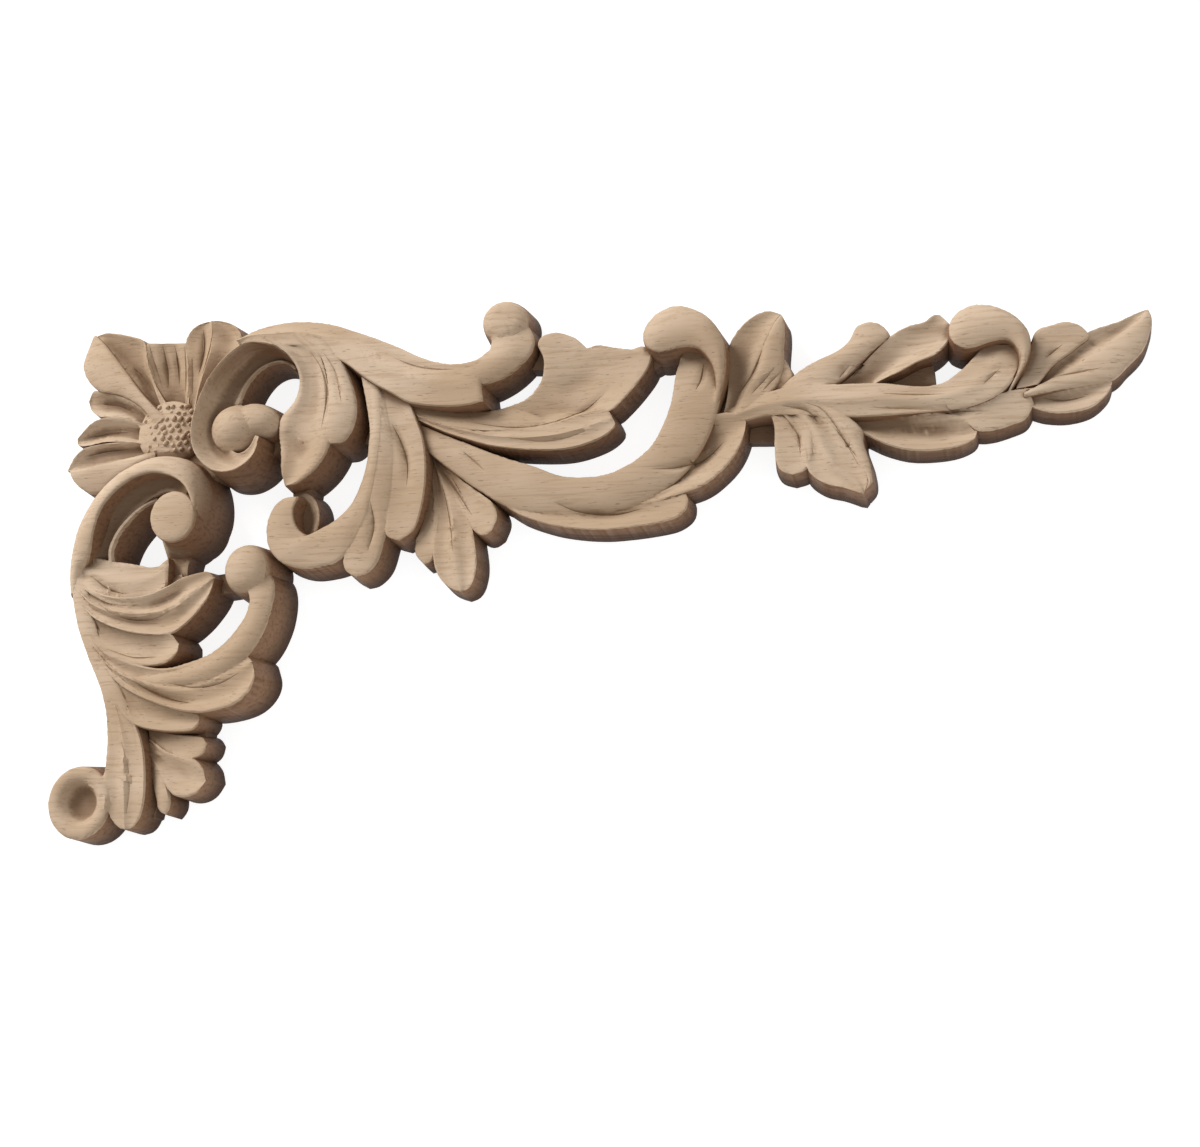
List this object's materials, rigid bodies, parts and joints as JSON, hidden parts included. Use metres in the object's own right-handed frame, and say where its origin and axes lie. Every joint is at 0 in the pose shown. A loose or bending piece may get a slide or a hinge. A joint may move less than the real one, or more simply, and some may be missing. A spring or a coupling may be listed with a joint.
{
  "type": "corner applique",
  "caption": "Carved wooden corner applique: a long and a short acanthus arm leave a corner flower at a right angle, with open scrollwork and a flat back for gluing to furniture.",
  "frame": {"origin": "on the flat back, under the corner flower where the two arms meet", "axes": "+X along the long arm, -Y along the short arm, +Z out of the carved face"},
  "size_m": [0.2194, 0.1085, 0.0156],
  "materials": {
    "wood": "bare pale hardwood, carved and unvarnished, with fine dark pores"
  },
  "bodies": {
    "root": {"corner_onlay": "wood"}
  },
  "joints": []
}
